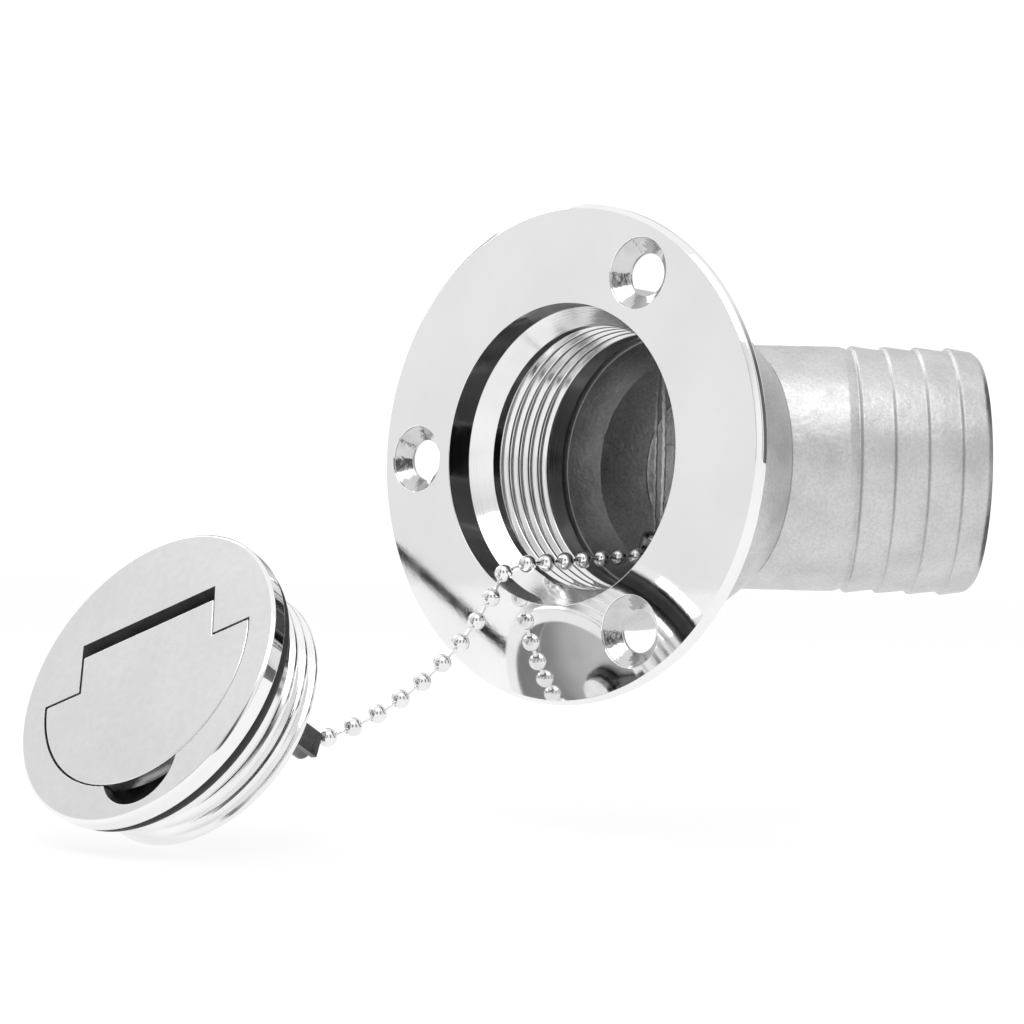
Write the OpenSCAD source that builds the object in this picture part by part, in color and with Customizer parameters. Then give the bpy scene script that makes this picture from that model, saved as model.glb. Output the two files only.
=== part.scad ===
// Boat deck filler: flanged socket with an angled hose tail, and a screw cap tethered by a bead chain.
// Millimetres. +Z is up, +Y runs inward along the socket, the flange faces -Y.
// Origin: centre of the flange's rear (mounting) face.

/* [Flange] */
// outside diameter of the flange
flange_d = 95; // [80:0.5:120]
// thickness of the flange plate
flange_t = 3.4; // [2.5:0.1:6]
// bevel on the front rim
rim_front = 0.85; // [0.3:0.05:1.2]
// bevel on the rear rim
rim_rear = 1.2; // [0.3:0.05:1.5]
// pitch circle of the fixing holes
hole_pcd = 76; // [70:0.5:84]
// number of fixing holes
hole_count = 3; // [3:1:6]
// through diameter of a fixing hole
hole_d = 8; // [4:0.1:9]
// diameter of the countersink at the face
sink_d = 13.2; // [10:0.1:15]
// straight lip at the top of the countersink
sink_lip = 0.3; // [0:0.05:0.6]

/* [Socket] */
// outside diameter of the socket
socket_d = 67; // [64:0.5:68]
// depth where the socket's rounded end starts
dome_y = 18; // [14:0.5:24]
// diameter of the mouth that takes the cap's head
mouth_d = 57.5; // [50:0.1:60]
// depth of the floor of the mouth behind the mounting plane
mouth_y = 2.4; // [1.5:0.1:4]
// depth where the sealing cone ends
cone_y = 6.2; // [5:0.1:8]
// diameter over the thread crests inside the socket
thread_minor_d = 51.2; // [44:0.1:54]
// diameter at the thread roots inside the socket
thread_major_d = 54; // [46:0.1:56]
// thread pitch
pitch = 2.9; // [1.5:0.1:4]
// depth of the first thread crest
crest_y = 8; // [7:0.1:10]
// number of thread crests in the socket
crest_count = 6; // [4:1:8]
// diameter of the plain bore behind the thread
plain_d = 52.6; // [46:0.1:56]
// depth where the plain bore ends
plain_y = 29; // [26:0.5:34]
// radius of the rounded cavity
cavity_r = 28; // [24:0.5:29]

/* [Hose tail] */
// angle between the flange axis and the hose tail
bend = 48.8; // [30:0.1:60]
// depth of the point where the two axes cross
elbow_y = 33.6; // [30:0.1:40]
// outside diameter of the plain tube
tube_d = 49.5; // [40:0.1:51]
// bore of the tube
bore_d = 43; // [34:0.5:44]
// diameter over the barb crests
barb_d = 50; // [40:0.1:52]
// diameter at the barb roots
root_d = 48.5; // [38:0.1:50]
// distance from the crossing of the axes to the first crest
barb_start = 34.1; // [30:0.1:40]
// spacing of the barbs
barb_pitch = 6.4; // [4:0.1:8]
// number of barbs
barb_count = 4; // [3:1:5]
// length of the tail from the crossing of the axes
tail_len = 58.9; // [54:0.1:66]

/* [Cap] */
// diameter of the cap's head
cap_d = 57; // [50:0.1:57]
// thickness of the head at its rim
head_t = 3.3; // [2.5:0.1:4]
// depth of the cap from face to end
cap_len = 18.5; // [16:0.1:22]
// diameter of the plain neck that carries the seal
neck_d = 50.7; // [44:0.1:51]
// diameter over the cap's thread crests
cap_major_d = 50.8; // [44:0.1:51]
// diameter at the cap's thread roots
cap_minor_d = 48; // [42:0.1:50]
// depth of the cap's first thread crest
cap_crest = 10.6; // [9:0.1:12]
// section of the sealing ring
ring_d = 2.6; // [2:0.1:3.2]
// diameter of the hollow at the cap's rear
hollow_d = 41; // [30:0.5:43]
// depth of the web between recess and rear hollow
web_end = 11; // [10:0.1:13]

/* [Handle] */
// radius of the fold-up half disc
lift_r = 22.9; // [18:0.1:24]
// shift of the half disc's centre
lift_shift = 1.5; // [0:0.1:3]
// height of the half disc's straight edge
lift_edge = 1.85; // [0:0.05:4]
// width of the narrow tail of the plate
tongue_w = 29.9; // [20:0.1:34]
// height of the end of the narrow tail
tongue_end = 9.6; // [8:0.1:11]
// thickness of the plate
plate_t = 2.8; // [2:0.1:3]
// height of the hinge pin
pin_v = 5.9; // [5:0.1:7]
// depth of the hinge pin
pin_depth = 2.9; // [2.5:0.1:3.5]
// diameter of the hinge pin
pin_d = 2.5; // [2:0.1:3]
// length of the hinge pin
pin_len = 41; // [36:0.5:44]
// diameter of the hinge barrel under the plate
knuckle_d = 5.2; // [4:0.1:6]
// radius cut under the ears so that they clear the recess as the plate lifts
ear_relief = 4.85; // [4.7:0.05:5]
// clearance round the plate in its recess
plate_gap = 0.3; // [0.15:0.05:0.6]
// height of the end of the recess above the narrow tail
slot_end = 12.4; // [11:0.1:14]
// depth of the recess under the narrow tail
slot_depth = 8.2; // [7.8:0.1:9]
// radius of the finger scoop
scoop_r = 8.1; // [6:0.1:10]
// height of the finger scoop's centre
scoop_v = -18.4; // [-20:0.1:-16]
// depth of the finger scoop
scoop_depth = 6; // [4:0.1:7]

/* [Swivel] */
// shank diameter of the swivel stud
stud_d = 3.8; // [3:0.1:5]
// head diameter of the swivel stud
stud_head_d = 8; // [6:0.1:10]
// thickness of the swivel tab
tab_t = 1.2; // [0.8:0.1:2]
// width of the swivel tab
tab_w = 4.6; // [4:0.1:9]
// distance of the chain clip from the stud
clip_r = 12; // [10:0.1:14]
// direction of the chain clip round the stud
clip_turn = -17; // [-90:1:90]
// outside diameter of the chain clip
clip_d = 4.8; // [4.2:0.1:5.5]
// depth of the last bead inside the clip
clip_depth = 30.4; // [26:0.1:32]

/* [Chain] */
// diameter of a bead
bead_d = 3.5; // [2.4:0.1:4.8]
// diameter of a link rod
rod_d = 0.9; // [0.6:0.1:1.2]
// radius of the chain's hanging curve
hang_r = 59.9; // [50:0.1:80]
// angle between two beads on the hanging curve
hang_step = 5.15; // [4:0.05:6]
// angle of the bead held by the cap's clip
hang_start = -103; // [-110:0.5:-95]
// compass direction of the hanging curve
hang_heading = 250; // [240:1:270]
// beads from the clip to the flange's lip
hang_count = 10; // [8:1:12]
// beads in the straight run inside the socket
inner_count = 7; // [5:1:9]

/* [Cap at rest] */
// gap from the mounting plane to the cap's face before the cap swings down
standoff = 26; // [24:0.5:30]
// turn of the cap about its own axis
cap_turn = 51.5; // [0:0.5:90]
// swing of the cap away from the socket's mouth
swing_deg = 37.8; // [30:0.1:45]

/* [Hidden] */
$fn = 96;
eps = 0.02;
cut = 0.5;

flange_r = flange_d / 2;
socket_r = socket_d / 2;
mouth_r = mouth_d / 2;
thread_in = thread_minor_d / 2;
thread_out = thread_major_d / 2;
crest_half = 0.3;
dome_front = plain_y - 0.05;
bore_r = bore_d / 2;
tube_r = tube_d / 2;
elbow_room = 0.6;

swing_axis = [0.776, -0.629, 0.045];
swing_pivot = [-58.9, -94.3, 62.7];

anchor_dir = [-0.475, 0.17, -0.863];
anchor_wall = 21.3;
anchor_bead = 18.3;
anchor_mouth = 16.8;
anchor_r = 2.5;
anchor_shank = 3.3;

hang_centre_x = 55;
hang_centre_z = 3;
lip_point = [-11, -4.2, 0];
lip_bead = hang_count;
inner_first = [-9.9, 0.1, -20.9];
inner_last = [-9.3, 32.4, -18.4];
bead_gap = 0.05;

tab_depth = web_end + 0.4;
leg_in = clip_r + clip_d / 2 + eps;
clip_len = 5.5;
stud_bite = 1.6;

steel = [0.78, 0.79, 0.8];
cast = [0.66, 0.67, 0.68];
black = [0.08, 0.08, 0.09];

// ---- positions ----
function hang_angle(k) = hang_start - hang_step * k;
function hang_bead(k) =
    let (out = hang_centre_x + hang_r * cos(hang_angle(k)),
         up = hang_centre_z + hang_r * sin(hang_angle(k)))
    [lip_point[0] + out * cos(hang_heading), lip_point[1] + out * sin(hang_heading), up];
function inner_bead(k) = inner_first + (inner_last - inner_first) * k / (inner_count - 1);
function elbow_point(dist) = [anchor_dir[0] * dist, elbow_y + anchor_dir[1] * dist, anchor_dir[2] * dist];

// ---- placing helpers ----
module inward() {
    rotate([-90, 0, 0]) children();
}

module tail_frame() {
    translate([0, elbow_y, 0])
        rotate([0, 0, -bend])
            inward() children();
}

module aim(from, to) {
    v = to - from;
    translate(from)
        rotate([0, acos(v[2] / norm(v)), atan2(v[1], v[0])])
            children();
}

module cap_place() {
    translate(swing_pivot)
        rotate(a = -swing_deg, v = swing_axis)
            translate([-swing_pivot[0], -swing_pivot[1] - standoff, -swing_pivot[2]])
                rotate([90, 0, 0])
                    rotate([0, 0, cap_turn])
                        children();
}

// ---- flange and socket ----
module socket_outside(grow) {
    inward() rotate_extrude() {
        translate([0, -flange_t / 2]) square([socket_r + grow, dome_y + flange_t / 2]);
        intersection() {
            translate([0, dome_y]) circle(r = socket_r + grow);
            translate([0, dome_y]) square(socket_d);
        }
    }
}

module elbow_inside() {
    tail_frame() rotate_extrude() {
        square([bore_r, tail_len + cut]);
        intersection() {
            circle(r = bore_r + elbow_room);
            translate([0, -bore_d]) square([bore_d, bore_d + elbow_room]);
        }
    }
}

module flange_blank() {
    inward() rotate_extrude()
        polygon([[0, 0],
                 [flange_r - rim_rear, 0],
                 [flange_r, -rim_rear],
                 [flange_r, -flange_t + rim_front],
                 [flange_r - rim_front, -flange_t],
                 [0, -flange_t]]);
}

function thread_zone(crest, root, first, count, half) =
    [for (k = [0:count - 1], step = [0:3])
        step == 0 ? [crest, first + pitch * k - (k == 0 ? 0 : half)] :
        step == 1 ? [crest, first + pitch * k + half] :
        step == 2 ? [k == count - 1 ? crest : root, first + pitch * (k + 0.5) - half] :
                    [k == count - 1 ? crest : root, first + pitch * (k + 0.5) + half]];

module socket_cavity() {
    mouth = [[0, -flange_t - cut],
             [mouth_r, -flange_t - cut],
             [mouth_r, mouth_y],
             [thread_in, cone_y]];
    plain = [[plain_d / 2, crest_y + pitch * crest_count],
             [plain_d / 2, plain_y],
             [0, plain_y]];
    inward() rotate_extrude()
        polygon(concat(mouth, thread_zone(thread_in, thread_out, crest_y, crest_count, crest_half), plain));
    intersection() {
        translate([0, dome_y, 0]) sphere(r = cavity_r);
        translate([-socket_r, dome_front, -socket_r]) cube([socket_d, socket_r, socket_d]);
    }
}

module fixing_holes() {
    for (k = [0:hole_count - 1])
        inward() rotate([0, 0, -60 - 360 / hole_count * k])
            translate([hole_pcd / 2, 0, -flange_t])
                rotate_extrude()
                    polygon([[0, -cut],
                             [sink_d / 2, -cut],
                             [sink_d / 2, sink_lip],
                             [hole_d / 2, sink_lip + (sink_d - hole_d) / 2],
                             [hole_d / 2, flange_t + cut],
                             [0, flange_t + cut]]);
}

module flange_plate() {
    color(steel) difference() {
        flange_blank();
        socket_cavity();
        fixing_holes();
        inward() translate([0, 0, -flange_t / 2]) cylinder(r = socket_r + eps, h = flange_t);
    }
}

module neck_socket() {
    color(cast) difference() {
        socket_outside(0);
        socket_cavity();
        elbow_inside();
        aim(elbow_point(anchor_wall - 0.3), elbow_point(anchor_wall + anchor_shank + 0.2))
            cylinder(d = 2.6, h = anchor_shank + 0.5);
    }
}

// ---- hose tail ----
module tail_outside() {
    barbs = [for (k = [0:barb_count - 1], step = [0:1])
        step == 0 ? [barb_d / 2, barb_start + barb_pitch * k]
                  : [root_d / 2, barb_start + barb_pitch * (k + 1) - 0.4]];
    kept = [for (k = [0:2 * barb_count - 2]) barbs[k]];
    rotate_extrude()
        polygon(concat([[0, 0],
                        [tube_r, 0],
                        [tube_r, barb_start - 2.4],
                        [root_d / 2 - 0.15, barb_start - 0.4]],
                       kept,
                       [[root_d / 2, tail_len - 1],
                        [root_d / 2 - 1, tail_len],
                        [0, tail_len]]));
}

module hose_tail() {
    color(cast) difference() {
        union() {
            translate([0, elbow_y, 0]) sphere(r = tube_r);
            tail_frame() tail_outside();
        }
        elbow_inside();
        socket_outside(eps);
    }
}

// ---- chain ----
module bead(p) {
    translate(p) sphere(d = bead_d, $fn = 32);
}

module link(from, to) {
    free = norm(to - from) - bead_d - 2 * bead_gap;
    aim(from, to)
        translate([0, 0, bead_d / 2 + bead_gap])
            cylinder(d = rod_d, h = free, $fn = 16);
}

module neck_anchor() {
    color(steel) difference() {
        union() {
            aim(elbow_point(anchor_mouth), elbow_point(anchor_wall))
                cylinder(r = anchor_r, h = anchor_wall - anchor_mouth);
            aim(elbow_point(anchor_wall - 0.1), elbow_point(anchor_wall + anchor_shank))
                cylinder(d = 2.5, h = anchor_shank);
        }
        aim(elbow_point(anchor_mouth - cut), elbow_point(anchor_bead + 2))
            cylinder(r = bead_d / 2 + 0.1, h = 2 + cut + anchor_bead - anchor_mouth);
        aim(elbow_point(anchor_bead), inner_last)
            translate([-0.8, -0.8, 0]) cube([1.6, 1.6, anchor_r + cut]);
    }
}

module chain_inner_beads() {
    color(steel) {
        for (k = [1:inner_count - 1]) bead(inner_bead(k));
        bead(elbow_point(anchor_bead));
    }
}

module chain_inner_links() {
    color(steel) {
        for (k = [0:inner_count - 2]) link(inner_bead(k), inner_bead(k + 1));
        link(inner_last, elbow_point(anchor_bead));
    }
}

module chain_lip_beads() {
    color(steel) {
        bead(inner_bead(0));
        bead(hang_bead(lip_bead));
        bead(hang_bead(lip_bead - 1));
    }
}

module chain_lip_links() {
    color(steel) {
        link(inner_bead(0), hang_bead(lip_bead));
        link(hang_bead(lip_bead), hang_bead(lip_bead - 1));
    }
}

module chain_outer_beads() {
    color(steel) for (k = [0:lip_bead - 2]) bead(hang_bead(k));
}

module chain_outer_links() {
    color(steel) for (k = [0:lip_bead - 2]) link(hang_bead(k), hang_bead(k + 1));
}

// ---- swivel ----
module at_clip() {
    cap_place() rotate([0, 0, clip_turn]) children();
}

module chain_clip() {
    color(steel) at_clip() translate([clip_r, 0, -clip_depth - 1.2])
        difference() {
            cylinder(d = clip_d, h = clip_len);
            translate([0, 0, -cut]) cylinder(r = bead_d / 2 + 0.35, h = clip_len - 1);
        }
}

module swivel_tab() {
    color(steel) at_clip() difference() {
        translate([0, 0, -tab_depth - tab_t]) {
            cylinder(d = 10, h = tab_t);
            translate([0, -tab_w / 2, 0]) cube([leg_in + tab_t, tab_w, tab_t]);
            translate([leg_in, -tab_w / 2, clip_depth * -1 - 1.2 + tab_depth + tab_t])
                cube([tab_t, tab_w, clip_depth + 1.2 - tab_depth]);
        }
        translate([0, 0, -tab_depth - tab_t - cut]) cylinder(d = stud_d + 0.4, h = tab_t + 2 * cut);
    }
}

module swivel_stud() {
    color(steel) cap_place() {
        translate([0, 0, -tab_depth - tab_t - 0.3]) cylinder(d = stud_d, h = tab_t + 0.7 + stud_bite);
        translate([0, 0, -tab_depth - tab_t - 2.1]) cylinder(d = stud_head_d, h = 1.8);
    }
}

// ---- cap ----
module cap_outside() {
    rotate_extrude()
        polygon(concat([[0, 0],
                        [cap_d / 2 - 0.5, 0],
                        [cap_d / 2, -0.5],
                        [cap_d / 2, -head_t],
                        [neck_d / 2, -head_t],
                        [neck_d / 2, -cap_crest + pitch / 2 + crest_half],
                        [cap_minor_d / 2, -cap_crest + pitch / 2]],
                       [for (k = [0:2], step = [0:3])
                           step == 0 ? [cap_major_d / 2, -cap_crest - pitch * k + crest_half] :
                           step == 1 ? [cap_major_d / 2, -cap_crest - pitch * k - crest_half] :
                           step == 2 ? [cap_minor_d / 2, -cap_crest - pitch * (k + 0.5) + crest_half] :
                                       [cap_minor_d / 2, -cap_crest - pitch * (k + 0.5) - crest_half]],
                       [[cap_minor_d / 2, -cap_len],
                        [0, -cap_len]]));
}

module plate_outline(grow) {
    intersection() {
        translate([0, lift_shift]) circle(r = lift_r + grow);
        translate([-cap_d, -cap_d]) square([2 * cap_d, cap_d + lift_edge + grow]);
    }
}

module cap_recess() {
    translate([0, 0, -plate_t - 0.4]) linear_extrude(plate_t + 0.4 + cut) plate_outline(plate_gap);
    translate([-tongue_w / 2 - plate_gap, lift_edge - 0.4, -slot_depth])
        cube([tongue_w + 2 * plate_gap, slot_end - lift_edge + 0.4, slot_depth + cut]);
    translate([0.5, scoop_v, -scoop_depth]) cylinder(r = scoop_r, h = scoop_depth + cut);
}

module cap_body() {
    color(steel) cap_place() difference() {
        cap_outside();
        cap_recess();
        translate([0, 0, -cap_len - cut]) cylinder(d = hollow_d, h = cap_len - web_end + cut);
        translate([-pin_len / 2 - 0.1, pin_v, -pin_depth])
            rotate([0, 90, 0]) cylinder(d = pin_d + 2 * eps, h = pin_len + 0.2);
        translate([0, 0, -web_end - cut]) cylinder(d = stud_d + 2 * eps, h = stud_bite + 0.2 + cut);
    }
}

module cap_seal_ring() {
    color(black) cap_place()
        translate([0, 0, -head_t - ring_d / 2 - bead_gap])
            rotate_extrude() translate([neck_d / 2 + ring_d / 2 + bead_gap, 0]) circle(d = ring_d);
}

// ---- handle ----
module handle_plate() {
    color(steel) cap_place() difference() {
        union() {
            translate([0, 0, -plate_t - bead_gap]) linear_extrude(plate_t) plate_outline(0);
            translate([-tongue_w / 2, lift_edge - 1, -plate_t - bead_gap])
                cube([tongue_w, tongue_end - lift_edge + 1, plate_t]);
            translate([-tongue_w / 2, pin_v, -pin_depth])
                rotate([0, 90, 0]) cylinder(d = knuckle_d, h = tongue_w);
        }
        translate([-tongue_w, pin_v, -pin_depth])
            rotate([0, 90, 0]) cylinder(d = pin_d + 0.1, h = 2 * tongue_w);
        for (start = [-tongue_w, tongue_w / 2])
            translate([start, pin_v, -pin_depth])
                rotate([0, 90, 0]) cylinder(r = ear_relief, h = tongue_w / 2);
    }
}

module hinge_pin() {
    color(steel) cap_place()
        translate([-pin_len / 2, pin_v, -pin_depth])
            rotate([0, 90, 0]) cylinder(d = pin_d, h = pin_len);
}

flange_plate();
neck_socket();
hose_tail();
neck_anchor();
chain_inner_beads();
chain_inner_links();
chain_lip_beads();
chain_lip_links();
chain_outer_beads();
chain_outer_links();
chain_clip();
swivel_tab();
swivel_stud();
cap_body();
cap_seal_ring();
handle_plate();
hinge_pin();
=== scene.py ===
import bpy, bmesh, math
from mathutils import Matrix, Vector, noise


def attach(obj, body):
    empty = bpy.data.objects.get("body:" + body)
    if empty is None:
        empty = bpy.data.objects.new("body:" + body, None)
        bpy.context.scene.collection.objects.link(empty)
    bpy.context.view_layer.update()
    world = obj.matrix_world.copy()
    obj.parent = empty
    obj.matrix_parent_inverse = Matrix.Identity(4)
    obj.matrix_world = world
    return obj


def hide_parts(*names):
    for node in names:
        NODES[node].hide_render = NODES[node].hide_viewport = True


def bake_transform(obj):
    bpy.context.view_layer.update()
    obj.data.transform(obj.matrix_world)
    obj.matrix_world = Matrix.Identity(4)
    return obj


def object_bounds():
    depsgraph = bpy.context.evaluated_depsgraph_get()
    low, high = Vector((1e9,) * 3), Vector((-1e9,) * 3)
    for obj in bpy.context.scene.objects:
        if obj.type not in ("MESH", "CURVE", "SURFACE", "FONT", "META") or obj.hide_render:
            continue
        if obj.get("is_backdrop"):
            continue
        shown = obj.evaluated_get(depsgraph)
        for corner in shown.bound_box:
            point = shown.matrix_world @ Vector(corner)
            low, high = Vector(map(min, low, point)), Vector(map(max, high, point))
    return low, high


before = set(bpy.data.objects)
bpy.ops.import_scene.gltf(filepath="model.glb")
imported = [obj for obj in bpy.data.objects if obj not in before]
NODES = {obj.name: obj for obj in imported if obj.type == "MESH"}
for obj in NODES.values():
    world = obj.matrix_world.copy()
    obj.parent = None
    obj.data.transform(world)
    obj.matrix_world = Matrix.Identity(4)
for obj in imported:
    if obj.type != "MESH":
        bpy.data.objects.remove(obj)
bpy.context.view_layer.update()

MM = 0.001
COLLECTION = bpy.context.scene.collection

# part.scad's numbers, in millimetres
FLANGE_R, FLANGE_T = 47.5, 3.4
SOCKET_R, DOME_Y = 33.5, 18.0
MOUTH_R, MOUTH_Y, CONE_Y = 28.75, 2.4, 6.2
CREST_R, ROOT_R, PITCH, CREST_Y, CRESTS = 25.6, 27.0, 2.9, 8.0, 6
PLAIN_R, PLAIN_Y, CAVITY_R = 26.3, 29.0, 28.0
HOLE_PCD, HOLE_R, SINK_R, SINK_LIP = 76.0, 4.0, 6.6, 0.3
BEND, ELBOW_Y, TUBE_R, BORE_R, ELBOW_R = 48.8, 33.6, 24.75, 21.5, 22.1
BARB_R, ROOT_TAIL_R, BARB_START, BARB_PITCH, BARBS, TAIL_LEN = 25.0, 24.25, 34.1, 6.4, 4, 58.9
PIVOT, SWING_AXIS = (-58.9, -94.3, 62.7), (0.776, -0.629, 0.045)
SWING, STANDOFF, CAP_TURN = 37.8, 26.0, 51.5
BEAD_R, ROD_R = 1.75, 0.45
HANG_R, HANG_STEP, HANG_START, HANG_HEADING, LIP = 59.9, 5.15, -103.0, 250.0, 10
HANG_X, HANG_Z, LIP_POINT = 55.0, 3.0, (-11.0, -4.2, 0.0)
INNER_A, INNER_B, INNER_COUNT = (-9.9, 0.1, -20.9), (-9.3, 32.4, -18.4), 7
ANCHOR_DIR, ANCHOR_BEAD = (-0.475, 0.17, -0.863), 18.3

HEAD_R, HEAD_T, NECK_R, NECK_END = 28.5, 3.3, 25.35, 8.85
CAP_CREST_R, CAP_ROOT_R, CAP_CREST_Z, CAP_CRESTS, CAP_LEN = 25.4, 24.0, 10.6, 3, 18.5
HOLLOW_R, WEB_Z = 20.5, 11.0
RECESS_R, RECESS_EDGE, RECESS_DEPTH, PLATE_R, PLATE_EDGE, DISC_SHIFT = 23.2, 2.15, 3.2, 22.9, 1.85, 1.5
PLATE_TOP, PLATE_BOTTOM = -0.05, -2.85
SLOT_X, SLOT_Y0, SLOT_Y1, SLOT_DEPTH = 15.25, 1.45, 12.4, 8.2
EAR_X, EAR_Y, HINGE_Y, HINGE_Z, BARREL_R, RELIEF_R, RELIEF_X = 14.95, 9.6, 5.9, -2.9, 2.6, 4.85, 24.95
SCOOP_X, SCOOP_Y, SCOOP_R, SCOOP_DEPTH = 0.5, -18.4, 8.1, 6.0

# sizes of the looks alone, in millimetres
OVERLAP = 1.0
SEAM_NOISE, LINE_NOISE, LINE_R, LINE_LEN, LINE_STEP = 0.22, 0.14, 0.16, 52.0, 2.0
LINE_START, LINE_HEIGHTS = -2.0, (5.6, -7.0)
PINCH_R, PINCH_DEPTH, WAIST_R = 0.5, 0.5, 0.36
SADDLE_GAP, FLOOR_GAP = 0.02, 0.4

INWARD = Matrix.Rotation(math.radians(-90), 4, "X")
TAIL = Matrix.Translation((0, ELBOW_Y, 0)) @ Matrix.Rotation(math.radians(-BEND), 4, "Z") @ INWARD
CAP = (Matrix.Translation(PIVOT) @ Matrix.Rotation(math.radians(-SWING), 4, Vector(SWING_AXIS))
       @ Matrix.Translation((-PIVOT[0], -PIVOT[1] - STANDOFF, -PIVOT[2]))
       @ Matrix.Rotation(math.radians(90), 4, "X") @ Matrix.Rotation(math.radians(CAP_TURN), 4, "Z"))

# ---------------------------------------------------------------- materials


def new_material(name):
    mat = bpy.data.materials.new(name)
    mat.use_nodes = True
    tree = mat.node_tree
    tree.nodes.clear()
    out = tree.nodes.new("ShaderNodeOutputMaterial")
    shader = tree.nodes.new("ShaderNodeBsdfPrincipled")
    tree.links.new(shader.outputs[0], out.inputs[0])
    return mat, tree, shader


def ramp(tree, fac, stops):
    n = tree.nodes.new("ShaderNodeValToRGB")
    el = n.color_ramp.elements
    el[0].position, el[1].position = stops[0][0], stops[-1][0]
    el[0].color, el[1].color = (*[stops[0][1]] * 3, 1), (*[stops[-1][1]] * 3, 1)
    for pos, v in stops[1:-1]:
        el.new(pos).color = (v, v, v, 1)
    tree.links.new(fac, n.inputs[0])
    return n.outputs[0]


def coords(tree, scale=(1, 1, 1), matrix=None):
    tc = tree.nodes.new("ShaderNodeTexCoord")
    mp = tree.nodes.new("ShaderNodeMapping")
    mp.inputs["Scale"].default_value = scale
    if matrix is not None:
        mp.vector_type = "TEXTURE"
        mp.inputs["Location"].default_value = matrix.to_translation() * MM
        mp.inputs["Rotation"].default_value = matrix.to_euler()
    tree.links.new(tc.outputs["Object"], mp.inputs[0])
    return mp.outputs[0]


def noise_tex(tree, vec, scale, detail=3.0, rough=0.55, dist=0.0):
    n = tree.nodes.new("ShaderNodeTexNoise")
    n.inputs["Scale"].default_value = scale
    n.inputs["Detail"].default_value = detail
    n.inputs["Roughness"].default_value = rough
    n.inputs["Distortion"].default_value = dist
    tree.links.new(vec, n.inputs["Vector"])
    return n.outputs["Fac"]


def math_node(tree, op, a, b=None):
    n = tree.nodes.new("ShaderNodeMath")
    n.operation = op
    for k, v in enumerate((a, b)):
        if v is None:
            continue
        if isinstance(v, (int, float)):
            n.inputs[k].default_value = v
        else:
            tree.links.new(v, n.inputs[k])
    return n.outputs[0]


def lathe_marks(tree, matrix, scale):
    """Rings left by turning: noise that changes only with the distance along and from the axis."""
    vec = coords(tree, matrix=matrix)
    sep = tree.nodes.new("ShaderNodeSeparateXYZ")
    tree.links.new(vec, sep.inputs[0])
    xx = math_node(tree, "MULTIPLY", sep.outputs[0], sep.outputs[0])
    yy = math_node(tree, "MULTIPLY", sep.outputs[1], sep.outputs[1])
    rr = math_node(tree, "SQRT", math_node(tree, "ADD", xx, yy))
    comb = tree.nodes.new("ShaderNodeCombineXYZ")
    tree.links.new(rr, comb.inputs[0])
    tree.links.new(sep.outputs[2], comb.inputs[1])
    return noise_tex(tree, comb.outputs[0], scale, 2.0, 0.7)


def add_bump(tree, shader, layers, edge):
    last = None
    if edge:
        bevel = tree.nodes.new("ShaderNodeBevel")
        bevel.samples = 4
        bevel.inputs["Radius"].default_value = edge * MM
        last = bevel.outputs[0]
    for height, strength, dist in layers:
        b = tree.nodes.new("ShaderNodeBump")
        b.inputs["Strength"].default_value = strength
        b.inputs["Distance"].default_value = dist * MM
        tree.links.new(height, b.inputs["Height"])
        if last is not None:
            tree.links.new(last, b.inputs["Normal"])
        last = b.outputs[0]
    tree.links.new(last, shader.inputs["Normal"])


GRAIN_DEPTH, CLOUD_DEPTH, MARK_SCALE = 0.1, 0.3, 2600


def metal(name, tone, rough, patch, grain, marks=None, mark_amount=0.0, edge=0.0, cloud=None, speckle=None):
    """tone and rough are ranges; grain, cloud and speckle are (noise scale, amount); edge is in mm."""
    mat, tree, shader = new_material(name)
    vec = coords(tree)
    shader.inputs["Metallic"].default_value = 1.0
    colour = ramp(tree, noise_tex(tree, vec, patch, 5.0), [(0.3, tone[0]), (0.7, tone[1])])
    if speckle:
        grains = ramp(tree, noise_tex(tree, vec, speckle[0], 4.0, 0.65), [(0.36, speckle[1]), (0.62, 1.0)])
        mix = tree.nodes.new("ShaderNodeMix")
        mix.data_type, mix.blend_type = "RGBA", "MULTIPLY"
        mix.inputs["Factor"].default_value = 1.0
        tree.links.new(colour, mix.inputs[6])
        tree.links.new(grains, mix.inputs[7])
        colour = mix.outputs[2]
    tree.links.new(colour, shader.inputs["Base Color"])
    wear = noise_tex(tree, vec, patch * 3.1, 5.0, 0.65, 0.4)
    tree.links.new(ramp(tree, wear, [(0.3, rough[0]), (0.72, rough[1])]), shader.inputs["Roughness"])
    layers = [(noise_tex(tree, vec, grain[0], 4.0, 0.6), grain[1], GRAIN_DEPTH)]
    if cloud:
        layers.append((noise_tex(tree, vec, cloud[0], 2.0, 0.5), cloud[1], CLOUD_DEPTH))
    if marks is not None:
        layers.append((lathe_marks(tree, marks, MARK_SCALE), mark_amount, GRAIN_DEPTH))
    add_bump(tree, shader, layers, edge)
    return mat


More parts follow.
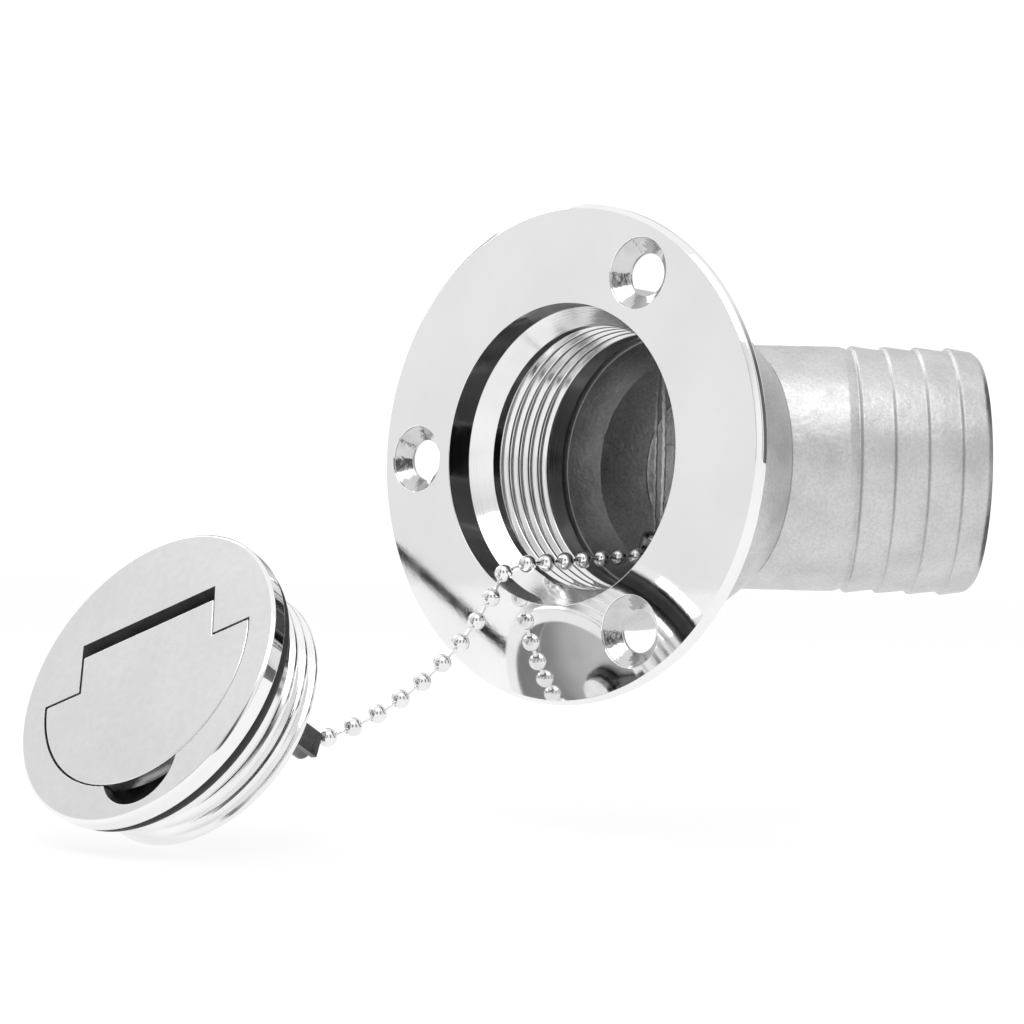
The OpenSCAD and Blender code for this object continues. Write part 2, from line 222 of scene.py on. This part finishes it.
POLISHED = metal("polished_steel", (0.86, 0.92), (0.02, 0.05), 45, (1400, 0.012), edge=0.12)
TURNED = metal("turned_steel", (0.78, 0.88), (0.07, 0.15), 70, (2600, 0.03), INWARD, 0.12, 0.1)
# Painted shade: the countersunk holes get a darker tone than the face, standing in for the shade and dark
# reflections inside them.
SINK_PAINTED_SHADE = metal("countersink_painted_shade", (0.55, 0.7), (0.06, 0.14), 200, (2200, 0.1), edge=0.1, cloud=(700, 0.25))
CAST = metal("cast_steel", (0.6, 0.72), (0.42, 0.54), 110, (900, 1.0), cloud=(300, 0.45), edge=0.35,
             speckle=(1900, 0.86))
# Painted shade: the socket's inner cavity and the neck anchor get a much darker cast tone than the outside,
# standing in for the shade inside the socket.
CAST_PAINTED_SHADE = metal("cast_inside_painted_shade", (0.34, 0.44), (0.36, 0.5), 120, (1100, 1.0), cloud=(320, 0.4),
                    edge=0.3, speckle=(1700, 0.8))
# Painted light: the inside of the bend, the tail's bore, the casting seam and the parting lines get a lighter
# cast tone than the cavity, lifting the shade that falls inside the bend.
ELBOW_PAINTED_LIGHT = metal("elbow_inside_painted_light", (0.66, 0.8), (0.4, 0.52), 120, (900, 1.0), cloud=(420, 0.5), edge=0.3,
              speckle=(1500, 0.75))
SATIN = metal("satin_steel", (0.82, 0.88), (0.2, 0.3), 40, (1900, 0.06), edge=0.12, speckle=(700, 0.96))
CAP_TURNED = metal("cap_turned_steel", (0.84, 0.92), (0.07, 0.15), 80, (2600, 0.03), CAP, 0.12, 0.1)
# Painted shade: the cap's rear hollow, the recess in its face, the slot and the scoop get this darker tone,
# standing in for the shade inside them.
RECESS_PAINTED_SHADE = metal("recess_painted_shade", (0.48, 0.58), (0.3, 0.45), 90, (1500, 0.2), edge=0.1)
# Painted shade: the chain clip and the swivel tab get a near-black steel tone, standing in for the shade they
# sit in.
DARK_PAINTED_SHADE = metal("dark_steel_painted_shade", (0.1, 0.18), (0.2, 0.32), 200, (2000, 0.08), edge=0.1)
BRIGHT = metal("bright_steel", (0.8, 0.9), (0.04, 0.1), 400, (900, 0.01))


def rubber():
    mat, tree, shader = new_material("seal_rubber")
    vec = coords(tree)
    tone = ramp(tree, noise_tex(tree, vec, 400), [(0.3, 0.008), (0.7, 0.022)])
    rough = ramp(tree, noise_tex(tree, vec, 900), [(0.3, 0.45), (0.7, 0.65)])
    tree.links.new(tone, shader.inputs["Base Color"])
    tree.links.new(rough, shader.inputs["Roughness"])
    add_bump(tree, shader, [(noise_tex(tree, vec, 1800), 0.2, GRAIN_DEPTH)], 0)
    return mat


RUBBER = rubber()

# ---------------------------------------------------------------- mesh tools


def to_object(bm, name, matrix, mats, scale=MM):
    bmesh.ops.recalc_face_normals(bm, faces=bm.faces)
    bm.transform(Matrix.Scale(scale, 4) @ matrix)
    me = bpy.data.meshes.new(name)
    bm.to_mesh(me)
    bm.free()
    for m in mats:
        me.materials.append(m)
    ob = bpy.data.objects.new(name, me)
    COLLECTION.objects.link(ob)
    return ob


def fillet(points, steps=5):
    """points are (r, h, fillet radius, material); a corner with a radius becomes an arc."""
    out = []
    n = len(points)
    for k, (r, h, rad, mat) in enumerate(points):
        p, a, b = Vector((r, h)), Vector(points[k - 1][:2]), Vector(points[(k + 1) % n][:2])
        u, v = (a - p), (b - p)
        if rad <= 0 or u.length < 1e-6 or v.length < 1e-6 or r < 1e-6:
            out.append((r, h, mat))
            continue
        lu, lv = u.length, v.length
        u, v = u / lu, v / lv
        half = math.acos(max(-1, min(1, u.dot(v)))) / 2
        if half > math.radians(88):
            out.append((r, h, mat))
            continue
        cut = min(rad / math.tan(half), lu * 0.48, lv * 0.48)
        rad = cut * math.tan(half)
        mid = (u + v).normalized()
        c = p + mid * rad / math.sin(half)
        s, e = p + u * cut - c, p + v * cut - c
        for i in range(steps + 1):
            t = i / steps
            q = c + (s * (1 - t) + e * t).normalized() * rad
            out.append((q.x, q.y, mat))
    return out


def lathe(name, profile, matrix, mats, seg=256, closed=True, spread=0.0):
    """Turns a profile of (r, h, material) about the local Z axis; a face takes its first point's material."""
    pts = []
    n = len(profile)
    for k in range(n):
        r, h, m = profile[k]
        pts.append((r, h, m))
        r2, h2, _ = profile[(k + 1) % n]
        length = math.hypot(r2 - r, h2 - h)
        if spread and length > spread * 1.5 and (k < n - 1 or closed) and (r > 1e-6 or r2 > 1e-6):
            parts = int(length / spread)
            for i in range(1, parts):
                pts.append((r + (r2 - r) * i / parts, h + (h2 - h) * i / parts, m))
    bm = bmesh.new()
    rings = []
    for r, h, m in pts:
        if r < 1e-6:
            rings.append(([bm.verts.new((0, 0, h))], m))
        else:
            turns = [2 * math.pi * i / seg for i in range(seg)]
            rings.append(([bm.verts.new((r * math.cos(t), r * math.sin(t), h)) for t in turns], m))
    count = len(rings)
    for k in range(count if closed else count - 1):
        (a, m), (b, _) = rings[k], rings[(k + 1) % count]
        if len(a) == 1 and len(b) == 1:
            continue
        for i in range(seg):
            j = (i + 1) % seg
            vs = [a[i % len(a)], a[j % len(a)], b[j % len(b)], b[i % len(b)]]
            vs = [v for q, v in enumerate(vs) if v not in vs[:q]]
            f = bm.faces.new(vs)
            f.material_index = m
    return to_object(bm, name, matrix, mats)


def prism(name, outline, z0, z1, matrix, mats, mat=0):
    bm = bmesh.new()
    lo = [bm.verts.new((x, y, z0)) for x, y in outline]
    hi = [bm.verts.new((x, y, z1)) for x, y in outline]
    bm.faces.new(lo).material_index = mat
    bm.faces.new(hi).material_index = mat
    n = len(outline)
    for i in range(n):
        bm.faces.new((lo[i], lo[(i + 1) % n], hi[(i + 1) % n], hi[i])).material_index = mat
    return to_object(bm, name, matrix, mats)


def bake_modifiers(ob):
    dg = bpy.context.evaluated_depsgraph_get()
    dg.update()
    me = bpy.data.meshes.new_from_object(ob.evaluated_get(dg))
    ob.modifiers.clear()
    old = ob.data
    ob.data = me
    bpy.data.meshes.remove(old)
    return ob


def cut(ob, *tools):
    for t in tools:
        m = ob.modifiers.new("cut", "BOOLEAN")
        m.operation = "DIFFERENCE"
        m.solver = "EXACT"
        m.object = t
        m.material_mode = "TRANSFER"
        bake_modifiers(ob)
        me = t.data
        bpy.data.objects.remove(t)
        bpy.data.meshes.remove(me)
    return ob


def smooth(ob, angle=32):
    ob.data.polygons.foreach_set("use_smooth", [True] * len(ob.data.polygons))
    ob.data.set_sharp_from_angle(angle=math.radians(angle))
    w = ob.modifiers.new("weighted", "WEIGHTED_NORMAL")
    w.keep_sharp = True
    w.weight = 60
    bake_modifiers(ob)
    return ob


def place(ob, body, slot, *nodes):
    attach(ob, body)
    if nodes:
        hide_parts(*nodes)
    return ob


def arc(cy, rad, a0, a1, steps, mat):
    """Profile points on an arc about (0, cy), between two angles in degrees."""
    turns = [math.radians(a0 + (a1 - a0) * i / steps) for i in range(steps + 1)]
    return [(rad * math.cos(t), cy + rad * math.sin(t), mat) for t in turns]


def aim(p, direction):
    """Places a piece's Z axis at p, along direction."""
    return Matrix.Translation(p) @ direction.to_track_quat("Z", "Y").to_matrix().to_4x4()


def wobble(ob, scale, spread, amount):
    """Moves each vertex by smooth noise, so that a thin piece looks rough."""
    for v in ob.data.vertices:
        q = v.co / MM
        shifts = (q * scale, q * scale + Vector((spread, 0, 0)), q * scale - Vector((0, spread, 0)))
        v.co += Vector([noise.noise(w) for w in shifts]) * amount * MM


def join(ob, others):
    bm = bmesh.new()
    bm.from_mesh(ob.data)
    for o in others:
        bm.from_mesh(o.data)
        me = o.data
        bpy.data.objects.remove(o)
        bpy.data.meshes.remove(me)
    bm.to_mesh(ob.data)
    bm.free()
    return ob


# ---------------------------------------------------------------- flange and socket


def build_socket():
    # The inner faces take the darker cast tone, which is painted shade.
    face, bore, cast, inner, sink, elbow = range(6)
    pts = [(SOCKET_R, 0, 0.6, face), (FLANGE_R - 1.2, 0, 0.4, face), (FLANGE_R, -1.2, 0.7, face),
           (FLANGE_R, -FLANGE_T + 0.85, 0.6, face), (FLANGE_R - 0.85, -FLANGE_T, 0.16, face),
           (MOUTH_R, -FLANGE_T, 0.14, bore), (MOUTH_R, MOUTH_Y, 0.12, bore), (CREST_R, CONE_Y, 0.2, bore)]
    for k in range(CRESTS):
        c = CREST_Y + PITCH * k
        if k:
            pts.append((CREST_R, c - 0.3, 0.4, bore))
        pts.append((CREST_R, c + 0.3, 0.4, bore))
        if k < CRESTS - 1:
            pts += [(ROOT_R, c + PITCH / 2 - 0.3, 0.35, bore), (ROOT_R, c + PITCH / 2 + 0.3, 0.35, bore)]
    end = CREST_Y + PITCH * CRESTS
    pts += [(PLAIN_R, end - 2.0, 0.2, bore), (PLAIN_R, PLAIN_Y, 0.15, inner)]
    mats = [POLISHED, TURNED, CAST, CAST_PAINTED_SHADE, SINK_PAINTED_SHADE, ELBOW_PAINTED_LIGHT]
    seam_out = math.degrees(math.asin((PLAIN_Y - DOME_Y) / SOCKET_R))
    seam_in = math.degrees(math.asin((PLAIN_Y - DOME_Y) / CAVITY_R))
    profile = fillet(pts, 4) + arc(DOME_Y, SOCKET_R, seam_out, 0, 8, cast)
    body = lathe("flange_and_socket", profile, INWARD, mats, 288)
    shell = arc(DOME_Y, CAVITY_R, seam_in, 90, 28, inner) + arc(DOME_Y, SOCKET_R, 90, seam_out, 28, cast)
    shell[28], shell[29] = (0, DOME_Y + CAVITY_R, cast), (0, DOME_Y + SOCKET_R, cast)
    dome = lathe("dome", shell, INWARD, mats, 288)
    # The elbow tool leaves faces with the lighter elbow tone, which is painted light.
    cut(dome, elbow_tool(elbow, mats))
    edge = 0.14
    # The hole tool's countersink faces carry that darker tone, which is painted shade.
    hole = fillet([(0, -OVERLAP, 0, sink), (SINK_R + edge, -OVERLAP, 0, face),
                   (SINK_R + edge, 0.001, 0, face), (SINK_R, edge, 0, sink), (SINK_R, SINK_LIP + 0.1, 0.1, sink),
                   (HOLE_R, SINK_LIP + SINK_R - HOLE_R, 0.25, sink), (HOLE_R, FLANGE_T + OVERLAP, 0, sink),
                   (0, FLANGE_T + OVERLAP, 0, sink)], 4)
    for k in range(3):
        turn = Matrix.Rotation(math.radians(-60 - 120 * k), 4, "Z")
        place_hole = INWARD @ turn @ Matrix.Translation((HOLE_PCD / 2, 0, -FLANGE_T))
        cut(body, lathe("hole_tool", hole, place_hole, mats, 96))
    join(body, [dome])
    return smooth(body)


def elbow_tool(mat, mats):
    prof = [(0, -ELBOW_R, mat)] + arc(0, ELBOW_R, -84, 0, 14, mat)
    prof += [(BORE_R, 0.6, mat), (BORE_R, TAIL_LEN + 0.5, mat), (0, TAIL_LEN + 0.5, mat)]
    return lathe("elbow_tool", prof, TAIL, mats, 160)


def roughen(ob):
    """Gives the outside of the cast tail a slight unevenness; its bore, end and rounded start stay true."""
    inv = TAIL.inverted()
    for v in ob.data.vertices:
        p = inv @ (v.co / MM)
        rad = math.hypot(p.x, p.y)
        if p.z > -2 and rad > 23 and p.z < TAIL_LEN - 0.5:
            q = v.co / MM
            d = 0.075 * noise.noise(q * 0.22) + 0.05 * noise.noise(q * 0.7) + 0.02 * noise.noise(q * 2.2) - 0.05
            out = Vector((p.x, p.y, 0)).normalized() * d
            v.co = (TAIL @ (p + out)) * MM


def build_tail():
    # The tail's bore and the inside of its rounded start take the lighter elbow tone, which is painted light.
    outer, inner = 0, 1
    prof = [(0, -TUBE_R, outer)] + arc(0, TUBE_R, -85, -5, 16, outer)
    pts = [(TUBE_R, 0, 0, outer), (TUBE_R, BARB_START - 2.4, 0.8, outer),
           (ROOT_TAIL_R - 0.15, BARB_START - 0.4, 0.25, outer)]
    for k in range(BARBS):
        s = BARB_START + BARB_PITCH * k
        pts.append((BARB_R, s, 0.35, outer))
        if k < BARBS - 1:
            pts.append((ROOT_TAIL_R, s + BARB_PITCH - 0.4, 0.3, outer))
    pts += [(ROOT_TAIL_R, TAIL_LEN - 1, 0.8, outer), (ROOT_TAIL_R - 1, TAIL_LEN, 0.4, outer),
            (BORE_R, TAIL_LEN, 0.5, inner), (BORE_R, 0.6, 0, inner)]
    prof += fillet(pts, 4)
    prof += arc(0, ELBOW_R, 0, -85, 17, inner)
    prof.append((0, -ELBOW_R, inner))
    ob = lathe("hose_tail_casting", prof, TAIL, [CAST, ELBOW_PAINTED_LIGHT], 288, spread=0.8)
    roughen(ob)
    rad = SOCKET_R + SADDLE_GAP
    prof = [(0, -0.5, 0), (rad, -0.5, 0)] + arc(DOME_Y, rad, 0, 90, 60, 0)
    prof[-1] = (0, DOME_Y + rad, 0)
    cut(ob, lathe("saddle_tool", prof, INWARD, [CAST], 288))
    return smooth(ob, 38)


def build_flash():
    """The rough casting seam round the start of the tail's bore, and two parting lines along the bore."""
    ring = [(21.75, -4.1, 0), (21.45, -3.9, 0), (21.4, -3.6, 0), (21.6, -3.3, 0), (22.1, -3.5, 0),
            (22.1, -4.0, 0)]
    # The seam and parting lines take the lighter elbow tone, which is painted light.
    ob = lathe("elbow_seam", ring, TAIL, [ELBOW_PAINTED_LIGHT], 220)
    wobble(ob, 0.9, 9, SEAM_NOISE)
    steps = int(LINE_LEN / LINE_STEP)
    prof = [(0, 0, 0), (LINE_R, 0, 0)] + [(LINE_R, LINE_STEP * k, 0) for k in range(1, steps + 1)]
    prof.append((0, LINE_LEN, 0))
    for height in LINE_HEIGHTS:
        out = -math.sqrt(BORE_R ** 2 - height ** 2)
        start, end = TAIL @ Vector((out, 0, LINE_START)), TAIL @ Vector((out, 0, LINE_START + LINE_LEN))
        start.z = end.z = height
        rod = lathe("parting_line", prof, aim(start, end - start), [ELBOW_PAINTED_LIGHT], 8)
        wobble(rod, 0.6, 5, LINE_NOISE)
        join(ob, [rod])
    return smooth(ob)


# ---------------------------------------------------------------- cap


def half_disc(rad, edge, shift, steps=96):
    """Outline of a disc about (0, shift), cut off above y = edge."""
    a = math.asin((edge - shift) / rad)
    turns = [a - (math.pi + 2 * a) * i / steps for i in range(steps + 1)]
    return [(rad * math.cos(t), shift + rad * math.sin(t)) for t in turns]


def build_cap():
    # Faces marked dark take the recess material, whose darker tone is painted shade.
    face, side, thread, dark = range(4)
    mats = [SATIN, POLISHED, CAP_TURNED, RECESS_PAINTED_SHADE]
    pts = [(0, 0, 0, face), (HEAD_R - 0.5, 0, 0.3, side), (HEAD_R, -0.5, 0.25, side),
           (HEAD_R, -HEAD_T, 0.25, side), (NECK_R, -HEAD_T, 0.1, thread), (NECK_R, -NECK_END, 0.2, thread),
           (CAP_ROOT_R, -NECK_END - 0.3, 0.25, thread)]
    for k in range(CAP_CRESTS):
        c = -CAP_CREST_Z - PITCH * k
        low = c - PITCH / 2
        pts += [(CAP_CREST_R, c + 0.3, 0.2, thread), (CAP_CREST_R, c - 0.3, 0.2, thread)]
        pts += [(CAP_ROOT_R, low + 0.3, 0.3, thread), (CAP_ROOT_R, low - 0.3, 0.3, thread)]
    pts[-1] = (CAP_ROOT_R, -CAP_LEN, 0.4, thread)
    pts += [(HOLLOW_R, -CAP_LEN, 0.3, dark), (HOLLOW_R, -WEB_Z, 0.4, dark), (0, -WEB_Z, 0, dark)]
    ob = lathe("cap_head", fillet(pts, 4), CAP, mats, 288)
    disc = half_disc(RECESS_R, RECESS_EDGE, DISC_SHIFT)
    recess = prism("recess_tool", disc, -RECESS_DEPTH, OVERLAP, CAP, mats, dark)
    corners = [(-SLOT_X, SLOT_Y0), (SLOT_X, SLOT_Y0), (SLOT_X, SLOT_Y1), (-SLOT_X, SLOT_Y1)]
    slot = prism("slot_tool", corners, -SLOT_DEPTH, OVERLAP, CAP, mats, dark)
    scoop_profile = fillet([(0, -SCOOP_DEPTH, 0, dark), (SCOOP_R, -SCOOP_DEPTH, 1.5, dark),
                            (SCOOP_R, OVERLAP, 0, dark), (0, OVERLAP, 0, dark)], 5)
    scoop = lathe("scoop_tool", scoop_profile, CAP @ Matrix.Translation((SCOOP_X, SCOOP_Y, 0)), mats, 96)
    cut(ob, recess, slot, scoop)
    return smooth(ob)


def across(x):
    """Frame on the handle's hinge line, moved x along it, with Z along the line."""
    return CAP @ Matrix.Translation((x, HINGE_Y, HINGE_Z)) @ Matrix.Rotation(math.radians(90), 4, "Y")


def build_plate():
    outline = half_disc(PLATE_R, PLATE_EDGE, DISC_SHIFT, 120)
    outline += [(-EAR_X, PLATE_EDGE), (-EAR_X, EAR_Y), (EAR_X, EAR_Y), (EAR_X, PLATE_EDGE)]
    ob = prism("lift_plate", outline, PLATE_BOTTOM, PLATE_TOP, CAP, [SATIN])
    b = ob.modifiers.new("bevel", "BEVEL")
    b.width, b.segments, b.limit_method, b.angle_limit = 0.28 * MM, 3, "ANGLE", math.radians(50)
    bake_modifiers(ob)
    block = [(0, -10, 0), (RELIEF_R, -10, 0), (RELIEF_R, 10, 0), (0, 10, 0)]
    cut(ob, *[lathe("relief_tool", block, across(side * RELIEF_X), [SATIN], 96) for side in (-1, 1)])
    rod = fillet([(0, -EAR_X, 0, 0), (BARREL_R, -EAR_X, 0.3, 0), (BARREL_R, EAR_X, 0.3, 0),
                  (0, EAR_X, 0, 0)], 3)
    join(ob, [lathe("plate_barrel", rod, across(0), [SATIN], 64)])
    return smooth(ob)


# ---------------------------------------------------------------- chain


def hang_bead(k):
    a, h = math.radians(HANG_START - HANG_STEP * k), math.radians(HANG_HEADING)
    out = HANG_X + HANG_R * math.cos(a)
    up = HANG_Z + HANG_R * math.sin(a)
    return Vector((LIP_POINT[0] + out * math.cos(h), LIP_POINT[1] + out * math.sin(h), up))


def inner_bead(k):
    return Vector(INNER_A) + (Vector(INNER_B) - Vector(INNER_A)) * k / (INNER_COUNT - 1)


ANCHOR = Vector((0, ELBOW_Y, 0)) + Vector(ANCHOR_DIR) * ANCHOR_BEAD


def chain(name, beads, rods):
    """Hollow balls drawn in at the two poles, on short rods with a flared end inside each ball."""
    parts = []
    neck_r = 0.62
    hole = math.degrees(math.asin(0.72 / BEAD_R))
    low = [(0, -BEAD_R + 0.55, 0), (PINCH_R, -BEAD_R + PINCH_DEPTH, 0), (neck_r, -BEAD_R + 0.22, 0)]
    high = [(r, -h, m) for r, h, m in reversed(low)]
    ball = low + arc(0, BEAD_R, -90 + hole, 90 - hole, 22, 0) + high
    for p, d in beads:
        parts.append(lathe("ball", ball, aim(p, d), [BRIGHT], 40))
    for a, b in rods:
        s, e = BEAD_R - 0.45, (b - a).length - BEAD_R + 0.45
        half = [(0, s), (ROD_R, s), (ROD_R, s + 0.5), (WAIST_R, s + 0.75)]
        prof = half + [(r, s + e - h) for r, h in reversed(half)]
        rod = fillet([(r, h, 0.08, 0) for r, h in prof], 2)
        parts.append(lathe("rod", rod, aim(a, b - a), [BRIGHT], 20))
    first = parts.pop(0)
    first.name = name
    join(first, parts)
    first.data.polygons.foreach_set("use_smooth", [True] * len(first.data.polygons))
    first.data.set_sharp_from_angle(angle=math.radians(40))
    return first


def build_chain():
    outer = [hang_bead(k) for k in range(LIP - 1)]
    lip = [hang_bead(LIP - 1), hang_bead(LIP), inner_bead(0)]
    inner = [inner_bead(k) for k in range(1, INNER_COUNT)] + [ANCHOR]
    run = outer + lip + inner
    tangent = [(run[min(i + 1, len(run) - 1)] - run[max(i - 1, 0)]) for i in range(len(run))]
    n = len(outer)
    beads = list(zip(run, tangent))
    rods = list(zip(run, run[1:]))
    a = chain("chain_outer_run", beads[:n], rods[:n])
    b = chain("chain_lip_run", beads[n:n + 3], rods[n:n + 2])
    c = chain("chain_inner_run", beads[n + 3:], rods[n + 2:])
    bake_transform(a)
    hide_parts("chain_outer_beads", "chain_outer_links")
    place(b, "tether", "bright_steel", "chain_lip_beads", "chain_lip_links")
    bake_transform(c)
    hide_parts("chain_inner_beads", "chain_inner_links")


place(build_socket(), "socket", "polished_steel", "flange_plate", "neck_socket")
place(build_tail(), "socket", "cast_steel", "hose_tail")
place(build_flash(), "socket", "cast_steel")
place(build_cap(), "cap", "satin_steel", "cap_body")
place(build_plate(), "handle", "satin_steel", "handle_plate")
build_chain()

# The neck anchor's dark cast tone and the chain clip's and swivel tab's near-black tone are painted shade.
for name, mat in {"neck_anchor": CAST_PAINTED_SHADE, "chain_clip": DARK_PAINTED_SHADE, "swivel_tab": DARK_PAINTED_SHADE, "swivel_stud": BRIGHT,
                  "cap_seal_ring": RUBBER, "hinge_pin": BRIGHT}.items():
    NODES[name].data.materials.clear()
    NODES[name].data.materials.append(mat)

# ---------------------------------------------------------------- studio


def build_camera():
    cam = bpy.data.cameras.new("camera")
    ob = bpy.data.objects.new("camera", cam)
    COLLECTION.objects.link(ob)
    cam.sensor_width, cam.lens = 36, 70.17
    cam.clip_start, cam.clip_end = 0.01, 30
    ob.location = (0.25267, -0.28463, -0.02428)
    ob.rotation_euler = (math.radians(91.982), math.radians(-1.428), math.radians(43.112))
    bpy.context.scene.camera = ob


def build_floor(z):
    mat, tree, shader = new_material("studio_floor")
    vec = coords(tree)
    tree.links.new(ramp(tree, noise_tex(tree, vec, 3), [(0, 0.15), (1, 0.16)]), shader.inputs["Base Color"])
    shader.inputs["Roughness"].default_value = 0.9
    shader.inputs["Specular IOR Level"].default_value = 0.0
    shader.inputs["Emission Color"].default_value = (1, 1, 1, 1)
    shader.inputs["Emission Strength"].default_value = 0.8
    bm = bmesh.new()
    bm.faces.new([bm.verts.new((x, y, z)) for x, y in ((-12, -12), (12, -12), (12, 12), (-12, 12))])
    ob = to_object(bm, "studio_floor", Matrix.Identity(4), [mat], 1)
    ob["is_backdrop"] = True


# soft boxes and gaps round the set: position is azimuth / 360 from -X, value is brightness
WALLS = [(0.0, 0.9), (0.05, 0.95), (0.21, 0.95), (0.245, 0.12), (0.258, 0.12), (0.285, 1.0),
         (0.335, 1.0), (0.36, 0.1), (0.374, 0.1), (0.4, 1.12), (0.455, 1.12), (0.48, 0.25), (0.5, 0.25),
         (0.53, 1.0), (0.61, 1.0), (0.65, 0.15), (0.69, 0.15), (0.73, 1.0), (0.82, 1.0), (0.86, 0.4),
         (0.93, 0.45), (1.0, 0.9)]
SKY = [(0.0, 1.0), (0.5, 0.98), (0.62, 1.0), (0.75, 0.9), (0.9, 1.1), (1.0, 1.1)]


def build_world():
    world = bpy.data.worlds.new("studio")
    bpy.context.scene.world = world
    world.use_nodes = True
    tree = world.node_tree
    tree.nodes.clear()
    out = tree.nodes.new("ShaderNodeOutputWorld")
    seen = tree.nodes.new("ShaderNodeBackground")
    lit = tree.nodes.new("ShaderNodeBackground")
    mix = tree.nodes.new("ShaderNodeMixShader")
    path = tree.nodes.new("ShaderNodeLightPath")
    tc = tree.nodes.new("ShaderNodeTexCoord")
    sep = tree.nodes.new("ShaderNodeSeparateXYZ")
    tree.links.new(tc.outputs["Generated"], sep.inputs[0])
    azim = math_node(tree, "ARCTAN2", sep.outputs[1], sep.outputs[0])
    turn = math_node(tree, "ADD", math_node(tree, "DIVIDE", azim, 2 * math.pi), 0.5)
    strips = ramp(tree, turn, WALLS)
    up = math_node(tree, "ADD", math_node(tree, "MULTIPLY", sep.outputs[2], 0.5), 0.5)
    sky = ramp(tree, up, SKY)
    tone = math_node(tree, "MULTIPLY", strips, sky)
    top = ramp(tree, up, [(0.72, 0.0), (0.86, 1.0)])
    both = tree.nodes.new("ShaderNodeMix")
    tree.links.new(top, both.inputs[0])
    tree.links.new(tone, both.inputs[2])
    tree.links.new(sky, both.inputs[3])
    tree.links.new(both.outputs[0], lit.inputs[0])
    lit.inputs[1].default_value = 0.86
    seen.inputs[0].default_value = (1, 1, 1, 1)
    tree.links.new(path.outputs["Is Camera Ray"], mix.inputs[0])
    tree.links.new(lit.outputs[0], mix.inputs[1])
    tree.links.new(seen.outputs[0], mix.inputs[2])
    tree.links.new(mix.outputs[0], out.inputs[0])


def area(name, loc, aim_at, size, power):
    light = bpy.data.lights.new(name, "AREA")
    light.energy, light.size = power, size
    ob = bpy.data.objects.new(name, light)
    COLLECTION.objects.link(ob)
    ob.location = loc
    ob.rotation_euler = (Vector(aim_at) - Vector(loc)).to_track_quat("-Z", "Y").to_euler()


def card(name, centre, facing, width, height, roll=0):
    """A black flag, sizes in mm: it shows only in reflections."""
    mat, tree, shader = new_material(name)
    tone = ramp(tree, noise_tex(tree, coords(tree), 20), [(0, 0.01), (1, 0.02)])
    tree.links.new(tone, shader.inputs["Base Color"])
    shader.inputs["Roughness"].default_value = 0.9
    shader.inputs["Specular IOR Level"].default_value = 0.0
    bm = bmesh.new()
    corners = ((-1, -1), (1, -1), (1, 1), (-1, 1))
    bm.faces.new([bm.verts.new((x * width / 2, y * height / 2, 0)) for x, y in corners])
    matrix = aim(Vector(centre), Vector(facing)) @ Matrix.Rotation(math.radians(roll), 4, "Z")
    ob = to_object(bm, name, matrix, [mat])
    ob.visible_camera = False
    ob.visible_shadow = False
    ob.visible_diffuse = False
    ob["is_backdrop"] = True


build_camera()
build_world()
tail_dir = TAIL.to_3x3() @ Vector((0, 0, 1))
card("flag_tail", TAIL @ Vector((0, 0, 66)), tail_dir, 46, 46)
card("flag_streak", (-385, -375, -40), (0.68, 0.73, 0.05), 300, 5, 40)
build_floor(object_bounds()[0].z - FLOOR_GAP * MM)
area("key", (0.35, -0.35, 0.75), (0, 0, 0), 0.55, 1.6)
area("rim", (-0.7, 0.1, 0.5), (0, 0, 0), 0.5, 1.5)
bpy.context.scene.view_settings.view_transform = "Standard"
bpy.context.scene.view_settings.exposure = 0.1
